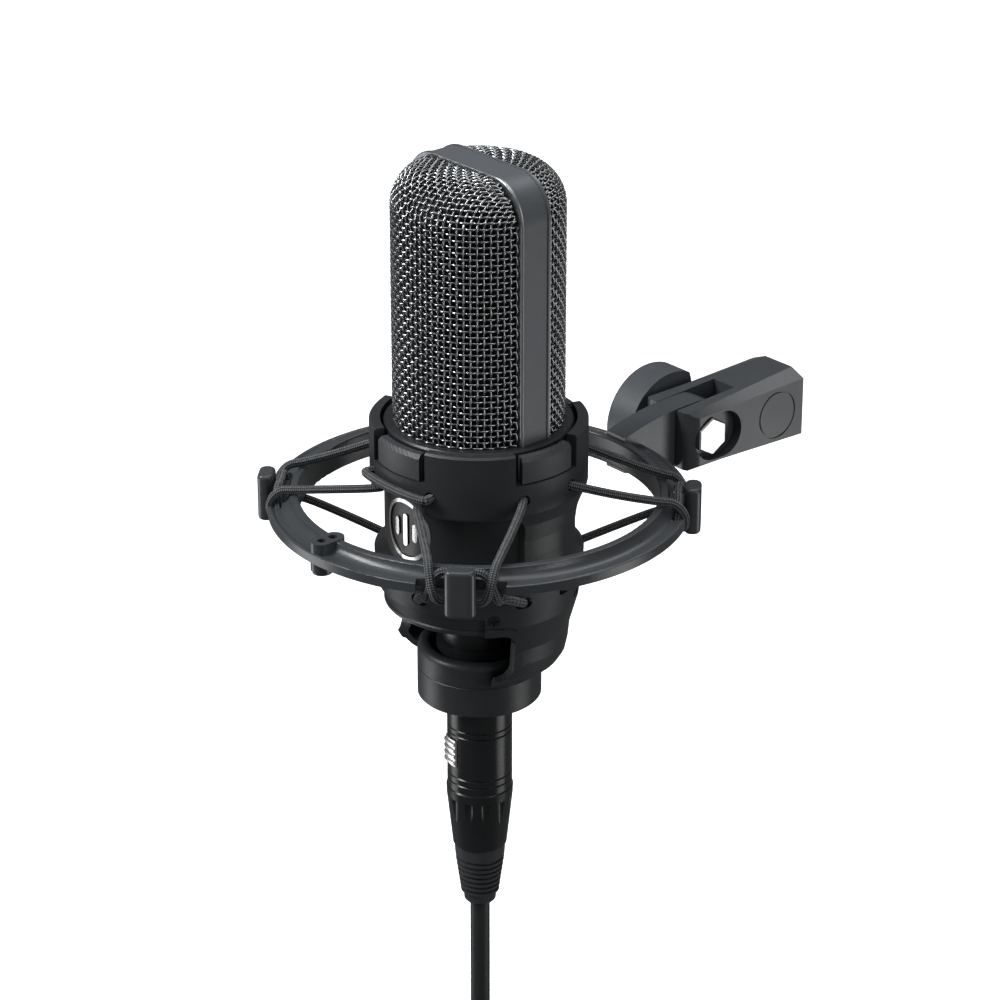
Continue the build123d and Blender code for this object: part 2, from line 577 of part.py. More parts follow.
with BuildPart() as outlet_pins:
    with BuildSketch(level(-70)):
        with Locations(*PIN_PLACES):
            Circle(1.2)
    extrude(amount=22)
outlet_pins.part.label = "outlet_pins"
export_step(outlet_pins.part, "parts/outlet_pins.step")

with BuildPart() as motor_mount:
    with BuildSketch(level(FLANGE_TOP + 0.05)):
        RectangleRounded(24, 14, 3)
        with GridLocations(14, 0, 2, 1):
            Circle(1.1, mode=Mode.SUBTRACT)
    extrude(amount=5)
motor_mount.part.label = "motor_mount"
export_step(motor_mount.part, "parts/motor_mount.step")

MOTOR_FOOT, MOTOR_TOP = 31.6, 92.0

with BuildPart() as motor_frame:
    with BuildSketch(level(MOTOR_FOOT)):
        Rectangle(25, 14)
    extrude(amount=MOTOR_TOP - MOTOR_FOOT)
    with BuildSketch(SECTION):
        with Locations((0, (MOTOR_FOOT + MOTOR_TOP) / 2)):
            Rectangle(21.4, MOTOR_TOP - MOTOR_FOOT - 8)
    extrude(amount=10, both=True, mode=Mode.SUBTRACT)
    with BuildSketch(level(MOTOR_FOOT)):
        with GridLocations(14, 0, 2, 1):
            Circle(1.1)
    extrude(amount=4, mode=Mode.SUBTRACT)
motor_frame.part.label = "motor_frame"
export_step(motor_frame.part, "parts/motor_frame.step")

INNER_FOOT, INNER_HEIGHT = MOTOR_FOOT + 4.05, MOTOR_TOP - MOTOR_FOOT - 8.1

with BuildPart() as magnets:
    with BuildSketch(level(INNER_FOOT)):
        with GridLocations(15.8, 0, 2, 1):
            Rectangle(5.4, 10)
    extrude(amount=INNER_HEIGHT)
magnets.part.label = "magnets"
export_step(magnets.part, "parts/magnets.step")

with BuildPart() as pole_pieces:
    with BuildSketch(level(INNER_FOOT)):
        for side in (-1, 1):
            with BuildLine():
                Polyline((side * 2.5, -3.5), (side * 5.1, -5), (side * 5.1, 5), (side * 2.5, 3.5), close=True)
            make_face()
    extrude(amount=INNER_HEIGHT)
pole_pieces.part.label = "pole_pieces"
export_step(pole_pieces.part, "parts/pole_pieces.step")

with BuildPart() as ribbons:
    with BuildSketch(level(INNER_FOOT + 0.5)):
        with GridLocations(0, 3.0, 1, 2):
            Rectangle(4.4, 0.1)
    extrude(amount=INNER_HEIGHT - 1)
ribbons.part.label = "ribbons"
export_step(ribbons.part, "parts/ribbons.step")

with BuildPart() as ribbon_clamps:
    for height in (INNER_FOOT + 0.1, INNER_FOOT + INNER_HEIGHT - 3.1):
        with BuildSketch(level(height)):
            with GridLocations(0, 4.8, 1, 2):
                Rectangle(4.6, 1.6)
        extrude(amount=3)
ribbon_clamps.part.label = "ribbon_clamps"
export_step(ribbon_clamps.part, "parts/ribbon_clamps.step")

with BuildPart() as motor_screws:
    with BuildSketch(level(FLANGE_TOP - 2)):
        with GridLocations(14, 0, 2, 1):
            Circle(1.0)
    extrude(amount=MOTOR_FOOT + 3 - FLANGE_TOP + 2)
    with BuildSketch(level(FLANGE_TOP - 5.1)):
        with GridLocations(14, 0, 2, 1):
            Circle(1.9)
    extrude(amount=1.05)
    with BuildSketch(level(FLANGE_TOP - 4.2)):
        with GridLocations(14, 0, 2, 1):
            Circle(1.0)
    extrude(amount=3)
motor_screws.part.label = "motor_screws"
export_step(motor_screws.part, "parts/motor_screws.step")

with BuildPart() as chassis_rails:
    with BuildSketch(level(BODY_BOTTOM + 4)):
        with GridLocations(40, 0, 2, 1):
            Rectangle(3, 6)
    extrude(amount=FLANGE_TOP - 4.1 - BODY_BOTTOM - 4)
chassis_rails.part.label = "chassis_rails"
export_step(chassis_rails.part, "parts/chassis_rails.step")

with BuildPart() as circuit_board:
    with BuildSketch(level(BODY_BOTTOM + 5)):
        with Locations((0, 8)):
            Rectangle(36, 1.6)
    extrude(amount=28)
circuit_board.part.label = "circuit_board"
export_step(circuit_board.part, "parts/circuit_board.step")

with BuildPart() as transformer:
    with BuildSketch(level(-8)):
        with Locations((0, -3)):
            RectangleRounded(24, 18, 2)
    extrude(amount=22)
    fillet(transformer.edges().group_by(Axis.Z)[-1], 1.5)
transformer.part.label = "transformer"
export_step(transformer.part, "parts/transformer.step")

# ================================================================ lead connector
latch_face = outward(0, LATCH_AZ, (LATCH_TOP + LATCH_BOTTOM) / 2)

with BuildPart() as connector_shell:
    shell = [(NOSE_R - 0.9, NOSE_TOP), (NOSE_R, NOSE_TOP), (NOSE_R, OUTLET_BOTTOM - 0.05)]
    shell += [(OUTLET_R - 0.3, OUTLET_BOTTOM - 0.05), (OUTLET_R, OUTLET_BOTTOM - 0.35), (OUTLET_R, -87.2)]
    shell += [(OUTLET_R - 0.3, -87.5), (OUTLET_R, -87.8), (OUTLET_R, -89.5), (OUTLET_R - 0.3, -89.8)]
    shell += [(OUTLET_R, -90.1), (OUTLET_R, SLEEVE_TOP + 0.05), (NOSE_R - 0.9, SLEEVE_TOP + 0.05)]
    revolve(outline(shell), axis=MIC_AXIS)
    with BuildSketch(latch_face):
        Rectangle(LATCH_WIDTH + 0.5, LATCH_TOP - LATCH_BOTTOM + 0.5)
    extrude(amount=14, mode=Mode.SUBTRACT)
connector_shell.part.label = "connector_shell"
export_step(connector_shell.part, "parts/connector_shell.step")

with BuildPart() as latch:
    grip_r = OUTLET_R + 1.1
    revolve(outline([(8.3, -90), (grip_r - 0.5, -90), (grip_r - 0.5, -70), (8.3, -70)]), axis=MIC_AXIS)
    for step in range(4):
        ridge_h = LATCH_TOP - 1.2 - 2.05 * step
        ridge = [(OUTLET_R, ridge_h - 0.75), (grip_r, ridge_h - 0.6)]
        ridge += [(grip_r, ridge_h + 0.3), (OUTLET_R, ridge_h + 0.75)]
        revolve(outline(ridge), axis=MIC_AXIS)
    with BuildSketch(latch_face):
        Rectangle(LATCH_WIDTH, LATCH_TOP - LATCH_BOTTOM)
    extrude(amount=14, mode=Mode.INTERSECT)
latch.part.label = "latch"
export_step(latch.part, "parts/latch.step")

with BuildPart() as contact_insert:
    with BuildSketch(level(NOSE_TOP - 0.4)):
        Circle(NOSE_R - 1.0)
        with Locations(*PIN_PLACES):
            Circle(1.75, mode=Mode.SUBTRACT)
    extrude(amount=-17)
contact_insert.part.label = "contact_insert"
export_step(contact_insert.part, "parts/contact_insert.step")

with BuildPart() as sockets:
    with BuildSketch(level(NOSE_TOP - 1)):
        with Locations(*PIN_PLACES):
            Circle(1.7)
            Circle(1.25, mode=Mode.SUBTRACT)
    extrude(amount=-16)
sockets.part.label = "sockets"
export_step(sockets.part, "parts/sockets.step")


def sleeve_of(top, bottom, flutes):
    """Tapered fluted screw sleeve; top is the wide end, either way up."""
    way = 1 if top > bottom else -1
    with BuildPart() as sleeve:
        wall = [(7.2, top), (9.7, top), (10.0, top - way * 0.4), (9.9, top - way * 3.0), (8.1, bottom + way * 0.3)]
        revolve(outline(wall + [(7.8, bottom), (7.2, bottom)]), axis=MIC_AXIS)
        with BuildSketch(level(top - way * 3.2)):
            with PolarLocations(10.85, flutes):
                Circle(1.75)
        extrude(amount=-way * 20, mode=Mode.SUBTRACT)
    return sleeve.part


def boot_of(top, bottom):
    """Ribbed rubber strain relief tapering from the sleeve to the cable."""
    way = 1 if top > bottom else -1
    wall = [(CABLE_R + WRAP, top), (7.7, top), (7.45, top - way * 4.0)]
    for rib in range(7):
        start = top - way * (4.3 + 1.75 * rib)
        reach = 7.3 - 0.24 * rib
        wall += [(reach - 0.75, start), (reach - 0.75, start - way * 0.6), (reach, start - way * 0.75)]
        wall += [(reach - 0.05, start - way * 1.65)]
    wall += [(5.0, bottom + way * 3.8), (4.8, bottom + way * 1.0), (CABLE_R + 0.9, bottom)]
    wall += [(CABLE_R + WRAP, bottom)]
    with BuildPart() as boot:
        revolve(outline(wall), axis=MIC_AXIS)
    return boot.part


with BuildPart() as connector_sleeve:
    add(sleeve_of(SLEEVE_TOP, SLEEVE_BOTTOM, 12))
connector_sleeve.part.label = "connector_sleeve"
export_step(connector_sleeve.part, "parts/connector_sleeve.step")

with BuildPart() as connector_boot:
    add(boot_of(SLEEVE_BOTTOM - 0.1, BOOT_BOTTOM))
connector_boot.part.label = "connector_boot"
export_step(connector_boot.part, "parts/connector_boot.step")

with BuildPart() as cable_chuck:
    with BuildSketch(level(SLEEVE_BOTTOM + 1)):
        Circle(7.1)
        Circle(CABLE_R + WRAP, mode=Mode.SUBTRACT)
        with PolarLocations(5.5, 3):
            Rectangle(4.5, 0.8, mode=Mode.SUBTRACT)
    extrude(amount=12)
cable_chuck.part.label = "cable_chuck"
export_step(cable_chuck.part, "parts/cable_chuck.step")

# ================================================================ lead, coil and far connector
down = Vector(0, 0, -1)
bend = [down.rotate(Axis.Y, turn) for turn in (BEND_TURN, 2 * BEND_TURN)]
corner = Vector(0, -REACH, LEAD_DROP - 0.45 * BEND_RUN)
route = [Vector(0, -REACH, LEAD_START), corner, corner + bend[0] * BEND_RUN]
route.append(route[2] + bend[1] * BEND_RUN)
bend_r = 0.45 * BEND_RUN / tan(radians(BEND_TURN / 2))
outer_turn = COIL_MID_R + 6.0
join = route[2] + bend[1] * 12.0
coil_centre = join + bend[1].rotate(Axis.Y, 90) * -outer_turn
coil_axis = Axis(coil_centre, (0, 1, 0))
tail_turn = outer_turn + 6.0
tail_x = coil_centre.X - tail_turn
tail_y = -REACH - CABLE_PITCH * (COIL_COLUMNS - 1)
tail_end = coil_centre.Z - TAIL_DROP

with BuildPart() as cable_lead:
    with BuildLine() as lead_way:
        FilletPolyline(*route, radius=(bend_r, bend_r))
    with BuildSketch(Plane(route[0], z_dir=down)):
        Circle(CABLE_R)
    sweep(path=lead_way.line)
cable_lead.part.label = "cable_lead"
export_step(cable_lead.part, "parts/cable_lead.step")

with BuildPart() as cable_coil:
    inner, outer, front = COIL_MID_R - 9, COIL_MID_R + 9, tail_y - CABLE_R
    with BuildSketch(Plane.XY.offset(coil_centre.Z)):
        with BuildLine():
            edge = coil_centre.X
            Polyline((edge + inner, CABLE_R - REACH), (edge + outer, CABLE_R - REACH), (edge + outer, tail_y + CABLE_R),
                     (edge + outer + 6, tail_y + CABLE_R), (edge + outer + 6, front), (edge + inner, front), close=True)
        make_face()
    revolve(axis=coil_axis)
cable_coil.part.label = "cable_coil"
export_step(cable_coil.part, "parts/cable_coil.step")

with BuildPart() as cable_tail:
    add(rod((tail_x, tail_y, coil_centre.Z), (tail_x, tail_y, tail_end), CABLE_R))
cable_tail.part.label = "cable_tail"
export_step(cable_tail.part, "parts/cable_tail.step")

with BuildPart() as cable_tie:
    tie_in, tie_out = inner - 1.0, outer + 6.1
    depth, middle = CABLE_R - REACH - front, ((tie_in + tie_out) / 2, (CABLE_R - REACH + front) / 2 + REACH)
    with BuildSketch(Plane((coil_centre.X, -REACH, coil_centre.Z), (0.34, 0, 0.94), (-0.94, 0, 0.34))):
        with Locations((middle[0], middle[1])):
            Rectangle(tie_out - tie_in + 2.4, depth + 2.6)
            Rectangle(tie_out - tie_in, depth + 0.2, mode=Mode.SUBTRACT)
    extrude(amount=6, both=True)
cable_tie.part.label = "cable_tie"
export_step(cable_tie.part, "parts/cable_tie.step")

FAR_SHIFT = (tail_x, tail_y + REACH, 0)
far_boot_top, far_boot_end = tail_end + 20.0, tail_end - 3.0
far_shell_top = far_boot_end - 17.8
far_end = far_shell_top - 21.0

with BuildPart() as far_boot:
    with Locations(FAR_SHIFT):
        add(boot_of(far_boot_end, far_boot_top))
far_boot.part.label = "far_boot"
export_step(far_boot.part, "parts/far_boot.step")

with BuildPart() as far_sleeve:
    with Locations(FAR_SHIFT):
        add(sleeve_of(far_shell_top, far_boot_end - 0.1, 12))
far_sleeve.part.label = "far_sleeve"
export_step(far_sleeve.part, "parts/far_sleeve.step")

with BuildPart() as far_shell:
    with BuildSketch(Plane((tail_x, tail_y, far_shell_top - 0.1))):
        Circle(9.4)
        Circle(8.2, mode=Mode.SUBTRACT)
    extrude(amount=far_end - far_shell_top)
    chamfer(far_shell.edges().group_by(Axis.Z)[0], 0.3)
far_shell.part.label = "far_shell"
export_step(far_shell.part, "parts/far_shell.step")

with BuildPart() as far_insert:
    with BuildSketch(Plane((tail_x, tail_y, far_shell_top - 0.2))):
        Circle(8.15)
        with Locations(*PIN_PLACES):
            Circle(1.25, mode=Mode.SUBTRACT)
    extrude(amount=-5)
far_insert.part.label = "far_insert"
export_step(far_insert.part, "parts/far_insert.step")

with BuildPart() as far_pins:
    with BuildSketch(Plane((tail_x, tail_y, far_shell_top + 1.8))):
        with Locations(*PIN_PLACES):
            Circle(1.2)
    extrude(amount=-20)
far_pins.part.label = "far_pins"
export_step(far_pins.part, "parts/far_pins.step")

coil_turns = [COIL_MID_R + 6.0 * layer for layer in (1, 0, -1, -1, 0, 1, 1, 0, -1, -1, 0, 1, 2)]
coil_length = 2 * pi * sum(coil_turns) + radians(2 * BEND_TURN) * tail_turn
lead_length = sum(edge.length for edge in lead_way.edges()) - 8.0
print("bend radii", round(bend_r, 1), "coil centre", coil_centre, "tail", tail_x, tail_y, tail_end)
print("cable length", round(lead_length + coil_length + TAIL_DROP), "turns", len(coil_turns))
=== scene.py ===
import bpy
import json
from math import acos, cos, hypot, pi, radians, sin, sqrt
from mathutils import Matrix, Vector


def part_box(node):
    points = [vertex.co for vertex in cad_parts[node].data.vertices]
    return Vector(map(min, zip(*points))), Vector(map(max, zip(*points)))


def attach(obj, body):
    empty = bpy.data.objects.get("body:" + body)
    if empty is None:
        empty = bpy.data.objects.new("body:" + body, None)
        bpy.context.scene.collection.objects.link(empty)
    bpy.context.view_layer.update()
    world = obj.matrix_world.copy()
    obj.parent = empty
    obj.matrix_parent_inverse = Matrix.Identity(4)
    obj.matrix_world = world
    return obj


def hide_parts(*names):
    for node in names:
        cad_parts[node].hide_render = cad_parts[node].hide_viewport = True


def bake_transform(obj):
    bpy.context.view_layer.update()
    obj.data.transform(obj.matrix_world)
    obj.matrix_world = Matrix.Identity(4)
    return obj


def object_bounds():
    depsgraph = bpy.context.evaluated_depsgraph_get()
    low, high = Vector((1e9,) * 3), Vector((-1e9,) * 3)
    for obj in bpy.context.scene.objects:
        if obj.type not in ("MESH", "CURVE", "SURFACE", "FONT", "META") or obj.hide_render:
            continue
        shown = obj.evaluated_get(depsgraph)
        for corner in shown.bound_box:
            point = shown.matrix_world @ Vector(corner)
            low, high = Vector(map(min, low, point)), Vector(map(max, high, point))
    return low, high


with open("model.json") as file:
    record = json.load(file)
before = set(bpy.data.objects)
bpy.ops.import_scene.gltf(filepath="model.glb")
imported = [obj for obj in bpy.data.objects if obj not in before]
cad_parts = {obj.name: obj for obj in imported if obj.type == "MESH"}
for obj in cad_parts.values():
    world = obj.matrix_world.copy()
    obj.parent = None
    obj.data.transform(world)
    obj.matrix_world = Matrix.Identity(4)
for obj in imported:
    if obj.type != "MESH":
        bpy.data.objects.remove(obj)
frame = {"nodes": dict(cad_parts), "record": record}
cad_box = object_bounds()
MM = 0.001
nodes = frame["nodes"]

# ---------------------------------------------------------------- places taken from the frame
body_low, body_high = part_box("body_tube")
grille_low, grille_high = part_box("front_grille")
PAD_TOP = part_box("grip_pads")[1][2]
AXIS_Y = (body_low[1] + body_high[1]) / 2
AXIS = Vector(((body_low[0] + body_high[0]) / 2, AXIS_Y, 0))


def around(radius, azimuth, height):
    """Point in metres from millimetres and degrees, azimuth counted from the front towards +X."""
    turn = radians(azimuth)
    return AXIS + Vector((radius * sin(turn), -radius * cos(turn), height)) * MM


# ---------------------------------------------------------------- camera
CAMERA_AZIMUTH, CAMERA_ELEVATION, CAMERA_DISTANCE = radians(49.5), radians(24.4), 1.009
AIM_SHIFT = 0.00605
FOCAL_LENGTH, SENSOR_WIDTH = 126, 36
across = Vector((cos(CAMERA_AZIMUTH), sin(CAMERA_AZIMUTH), 0))
back = Vector((sin(CAMERA_AZIMUTH) * cos(CAMERA_ELEVATION), -cos(CAMERA_AZIMUTH) * cos(CAMERA_ELEVATION),
               sin(CAMERA_ELEVATION)))
lens = bpy.data.cameras.new("camera")
lens.lens = FOCAL_LENGTH
lens.sensor_width = SENSOR_WIDTH
lens.clip_start = 0.01
lens.dof.use_dof = False
camera = bpy.data.objects.new("camera", lens)
bpy.context.collection.objects.link(camera)
camera.location = AXIS + across * AIM_SHIFT + back * CAMERA_DISTANCE
camera.rotation_euler = (-back).to_track_quat("-Z", "Y").to_euler()
bpy.context.scene.camera = camera


# ---------------------------------------------------------------- node material helpers
class Paint:
    """A node material built round one Principled shader."""

    def __init__(self, name, **sockets):
        self.material = bpy.data.materials.new(name)
        self.material.use_nodes = True
        self.tree = self.material.node_tree
        self.shader = self.tree.nodes["Principled BSDF"]
        for socket, value in sockets.items():
            self.shader.inputs[socket.replace("_", " ")].default_value = value

    def node(self, kind, **settings):
        made = self.tree.nodes.new(kind)
        for key, value in settings.items():
            setattr(made, key, value)
        return made

    def join(self, source, target):
        self.tree.links.new(source, target)

    def place(self, kind="Object"):
        return self.node("ShaderNodeTexCoord").outputs[kind]

    def axes(self, kind="Object"):
        """Separate X, Y and Z outputs of a texture coordinate."""
        split = self.node("ShaderNodeSeparateXYZ")
        self.join(self.place(kind), split.inputs[0])
        return split.outputs

    def noise(self, scale, detail=2.0, rough=0.5):
        made = self.node("ShaderNodeTexNoise")
        made.inputs["Scale"].default_value = scale
        made.inputs["Detail"].default_value = detail
        made.inputs["Roughness"].default_value = rough
        self.join(self.place(), made.inputs["Vector"])
        return made.outputs["Fac"]

    def bands(self, direction, scale, distortion):
        made = self.node("ShaderNodeTexWave", wave_type="BANDS", bands_direction=direction)
        made.inputs["Scale"].default_value = scale
        made.inputs["Distortion"].default_value = distortion
        self.join(self.place(), made.inputs["Vector"])
        return made.outputs["Fac"]

    def mix(self, fac, first, second):
        """Colour that is first where fac is 0 and second where it is 1."""
        made = self.node("ShaderNodeMix", data_type="RGBA")
        for socket, output in (("Factor", fac), ("A", first), ("B", second)):
            self.join(output, made.inputs[socket])
        return made.outputs["Result"]

    def ramp(self, fac, low, high, start, end):
        """Colour that goes from start to end as fac goes from low to high."""
        made = self.node("ShaderNodeValToRGB")
        made.color_ramp.elements[0].position = low
        made.color_ramp.elements[0].color = start
        made.color_ramp.elements[1].position = high
        made.color_ramp.elements[1].color = end
        self.join(fac, made.inputs["Fac"])
        return made.outputs["Color"]

    def span(self, fac, start, end, low=0.0, high=1.0):
        """Value that goes from start to end as fac goes from low to high."""
        made = self.node("ShaderNodeMapRange")
        for key, value in (("From Min", low), ("From Max", high), ("To Min", start), ("To Max", end)):
            made.inputs[key].default_value = value
        self.join(fac, made.inputs["Value"])
        return made.outputs["Result"]

    def math(self, kind, first, second=0.0):
        """One math node on two terms, each a socket or a plain number."""
        made = self.node("ShaderNodeMath", operation=kind)
        for socket, value in zip(made.inputs, (first, second)):
            if isinstance(value, (int, float)):
                socket.default_value = value
            else:
                self.join(value, socket)
        return made.outputs[0]

    def colour(self, output):
        self.join(output, self.shader.inputs["Base Color"])

    def roughness(self, output):
        self.join(output, self.shader.inputs["Roughness"])

    def metal(self, output):
        self.join(output, self.shader.inputs["Metallic"])

    def bump(self, height, strength, distance=0.0002):
        made = self.node("ShaderNodeBump")
        made.inputs["Strength"].default_value = strength
        made.inputs["Distance"].default_value = distance
        self.join(height, made.inputs["Height"])
        self.join(made.outputs["Normal"], self.shader.inputs["Normal"])


def grey(value, warm=0.0):
    """Opaque grey, tinted towards red when warm is above 0 and towards blue when it is below."""
    return (value * (1 + warm), value, value * (1 - warm), 1.0)


NOISE_LOW, NOISE_HIGH = 0.3, 0.7  # range in which the noise mostly lies
TONE_SPREAD, GLOSS_SPREAD = 0.10, 0.03
COOL = -0.10  # tint of the black finishes


def satin(name, tone, rough, grain_size=2600, grain=0.25, warm=COOL, **sockets):
    """Fine-grained satin surface with a little wear in tone and gloss."""
    paint = Paint(name, **sockets)
    fine = paint.noise(grain_size, 3, 0.6)
    broad = paint.noise(90, 4, 0.55)
    mixed = paint.math("ADD", paint.math("MULTIPLY", fine, 0.5), paint.math("MULTIPLY", broad, 0.5))
    dark, light = grey(tone * (1 - TONE_SPREAD), warm), grey(tone * (1 + TONE_SPREAD), warm)
    paint.colour(paint.ramp(mixed, NOISE_LOW, NOISE_HIGH, dark, light))
    paint.roughness(paint.span(broad, rough - GLOSS_SPREAD, rough + GLOSS_SPREAD, NOISE_LOW, NOISE_HIGH))
    paint.bump(fine, grain)
    return paint.material


def plated(name, tone, rough, warm=0.0):
    """Bright plated metal with faint marks."""
    paint = Paint(name, Metallic=1.0)
    marks = paint.noise(1500, 4, 0.6)
    cloud = paint.noise(120, 2)
    paint.colour(paint.ramp(cloud, NOISE_LOW, NOISE_HIGH, grey(tone * 0.92, warm), grey(tone, warm)))
    paint.roughness(paint.span(marks, rough - GLOSS_SPREAD, rough + GLOSS_SPREAD, NOISE_LOW, NOISE_HIGH))
    paint.bump(marks, 0.02, 0.00003)
    return paint.material


# ---------------------------------------------------------------- materials
RIM_START, RIM_END = 0.0046, 0.0049  # distance from the band's middle at which its rims, and their painted highlight, begin
RELIEF_START, RELIEF_END = 0.0271, 0.0273  # distance from the microphone's axis to the badge's relief
HATCH_START, HATCH_END = PAD_TOP - 0.0013, PAD_TOP - 0.0010


def gauze_paint():
    """Fine black gauze: small round holes in rows, seen behind the outer wires."""
    paint = Paint("fine_gauze", Metallic=0.3, Roughness=0.6)
    cells = paint.node("ShaderNodeTexVoronoi")
    cells.inputs["Scale"].default_value = 1500
    cells.inputs["Randomness"].default_value = 0.15
    paint.join(paint.place(), cells.inputs["Vector"])
    paint.colour(paint.ramp(cells.outputs["Distance"], 0.25, 0.5, grey(0.0008), grey(0.004)))
    paint.bump(cells.outputs["Distance"], 0.5, 0.0002)
    return paint.material


def frame_band_paint():
    """Satin band whose two bevelled rims carry a painted highlight: their colour is much lighter than the
    middle, and they are also more metallic and glossier.
    """
    paint = Paint("frame_satin")
    offset = paint.math("ABSOLUTE", paint.math("ADD", paint.axes()["Y"], -AXIS_Y))
    rim_highlight_mask = paint.span(offset, 0.0, 1.0, RIM_START, RIM_END)
    fine = paint.noise(2600, 3, 0.6)
    centre = paint.ramp(fine, NOISE_LOW, NOISE_HIGH, grey(0.100, COOL), grey(0.124, COOL))
    # painted highlight: the rims' colour is lighter to stand for the light they catch
    edge = paint.ramp(fine, NOISE_LOW, NOISE_HIGH, grey(0.30, -0.04), grey(0.36, -0.04))
    paint.colour(paint.mix(rim_highlight_mask, centre, edge))
    paint.metal(paint.span(rim_highlight_mask, 0.05, 0.9))
    paint.roughness(paint.span(rim_highlight_mask, 0.42, 0.30))
    paint.bump(fine, 0.15)
    return paint.material


def badge_paint():
    """Dark enamel in the sunk field, polished metal on the relief."""
    paint = Paint("badge_metal")
    split = paint.axes()
    flat = paint.node("ShaderNodeCombineXYZ")
    paint.join(split["X"], flat.inputs["X"])
    paint.join(paint.math("ADD", split["Y"], -AXIS_Y), flat.inputs["Y"])
    radius = paint.node("ShaderNodeVectorMath", operation="LENGTH")
    paint.join(flat.outputs[0], radius.inputs[0])
    relief = paint.span(radius.outputs["Value"], 0.0, 1.0, RELIEF_START, RELIEF_END)
    fine = paint.noise(1800, 3)
    field = paint.ramp(fine, NOISE_LOW, NOISE_HIGH, grey(0.012), grey(0.02))
    shine = paint.ramp(fine, NOISE_LOW, NOISE_HIGH, grey(0.62), grey(0.72))
    paint.colour(paint.mix(relief, field, shine))
    paint.metal(paint.span(relief, 0.1, 1.0))
    paint.roughness(paint.span(relief, 0.35, 0.22))
    paint.bump(fine, 0.05)
    return paint.material


def pad_paint():
    """Satin rubber face; the sloping top edge has fine diagonal hatching."""
    paint = Paint("pad_rubber", Specular_IOR_Level=0.5)
    edge = paint.span(paint.axes()["Z"], 0.0, 1.0, HATCH_START, HATCH_END)
    fine = paint.noise(2500, 3)
    paint.colour(paint.ramp(fine, NOISE_LOW, NOISE_HIGH, grey(0.044, COOL), grey(0.060, COOL)))
    paint.roughness(paint.span(fine, 0.42, 0.54, NOISE_LOW, NOISE_HIGH))
    hatching = paint.math("MULTIPLY", paint.bands("DIAGONAL", 330, 0.3), edge)
    paint.bump(paint.math("ADD", hatching, paint.math("MULTIPLY", fine, 0.3)), 0.35)
    return paint.material


def elastic_paint():
    """Braided cord: dark sleeve with lighter flecks where the rubber shows through."""
    paint = Paint("elastic", Roughness=0.6, Sheen_Weight=0.35, Sheen_Roughness=0.35)
    split = paint.axes("UV")
    slants = [paint.math(kind, split["X"], split["Y"]) for kind in ("ADD", "SUBTRACT")]
    right, left = (paint.math("SINE", paint.math("MULTIPLY", slant, 2 * pi)) for slant in slants)
    fuzz = paint.noise(3500, 3)
    mixed = paint.math("ADD", paint.math("MULTIPLY", right, left), paint.math("MULTIPLY", fuzz, 0.7))
    paint.colour(paint.ramp(mixed, 0.45, 1.0, grey(0.020, COOL), grey(0.21, COOL)))
    paint.bump(mixed, 0.7, 0.0002)
    return paint.material


def strap_paint():
    """Hook-and-loop strap with a ribbed weave."""
    paint = Paint("tie_fabric", Roughness=0.85, Sheen_Weight=0.4)
    fuzz = paint.noise(2400, 4, 0.7)
    paint.colour(paint.ramp(fuzz, NOISE_LOW, NOISE_HIGH, grey(0.012), grey(0.04)))
    paint.bump(paint.math("ADD", paint.bands("Y", 400, 1.2), fuzz), 0.6, 0.0003)
    return paint.material


def board_paint():
    """Green circuit board with lighter traces."""
    paint = Paint("board_green", Roughness=0.35, Coat_Weight=0.4)
    traces = paint.node("ShaderNodeTexBrick")
    traces.inputs["Scale"].default_value = 260
    traces.inputs["Color1"].default_value = (0.01, 0.10, 0.045, 1)
    traces.inputs["Color2"].default_value = (0.012, 0.13, 0.055, 1)
    traces.inputs["Mortar"].default_value = (0.02, 0.19, 0.08, 1)
    paint.join(paint.place(), traces.inputs["Vector"])
    paint.colour(traces.outputs["Color"])
    paint.bump(traces.outputs["Fac"], 0.2)
    return paint.material


PAINTS = {
    "cast_black": satin("cast_black", 0.056, 0.30, grain=0.10),
    "moulded_black": satin("moulded_black", 0.032, 0.40, grain=0.24),
    "black_screw": satin("black_screw", 0.012, 0.35, grain=0.08),
    "body_enamel": satin("body_enamel", 0.020, 0.36, grain=0.12),
    "washer_fibre": satin("washer_fibre", 0.03, 0.6),
    "knob_plastic": satin("knob_plastic", 0.075, 0.42, grain=0.15),
    "motor_iron": satin("motor_iron", 0.35, 0.35, Metallic=1.0),
    "magnet_grey": satin("magnet_grey", 0.45, 0.3, Metallic=1.0),
    "mount_rubber": satin("mount_rubber", 0.02, 0.8),
    "connector_black": satin("connector_black", 0.016, 0.27, grain=0.04, Specular_IOR_Level=0.4),
    "insulator": satin("insulator", 0.02, 0.5),
    "boot_rubber": satin("boot_rubber", 0.050, 0.18, grain=0.10),
    "bright_steel": plated("bright_steel", 0.80, 0.36),
    "brass_parts": plated("brass_parts", 0.62, 0.28, warm=0.3),
    "clamp_brass": plated("clamp_brass", 0.55, 0.3, warm=0.3),
    "ribbon_foil": plated("ribbon_foil", 0.85, 0.3),
    "transformer_can": plated("transformer_can", 0.5, 0.35),
    "woven_wire": satin("woven_wire", 0.40, 0.18, grain=0.02, warm=-0.03, Metallic=1.0),
    "fine_gauze": gauze_paint(),
    "frame_satin": frame_band_paint(),
    "badge_metal": badge_paint(),
    "pad_rubber": pad_paint(),
    "elastic": elastic_paint(),
    "cable_jacket": satin("cable_jacket", 0.022, 0.45, grain_size=1400, grain=0.12,
                          Specular_IOR_Level=0.5),
    "tie_fabric": strap_paint(),
    "board_green": board_paint(),
}

for subpart in frame["record"]["subparts"]:
    piece = nodes[subpart["node"]]
    piece.data.materials.clear()
    piece.data.materials.append(PAINTS[subpart["material_slot"]])


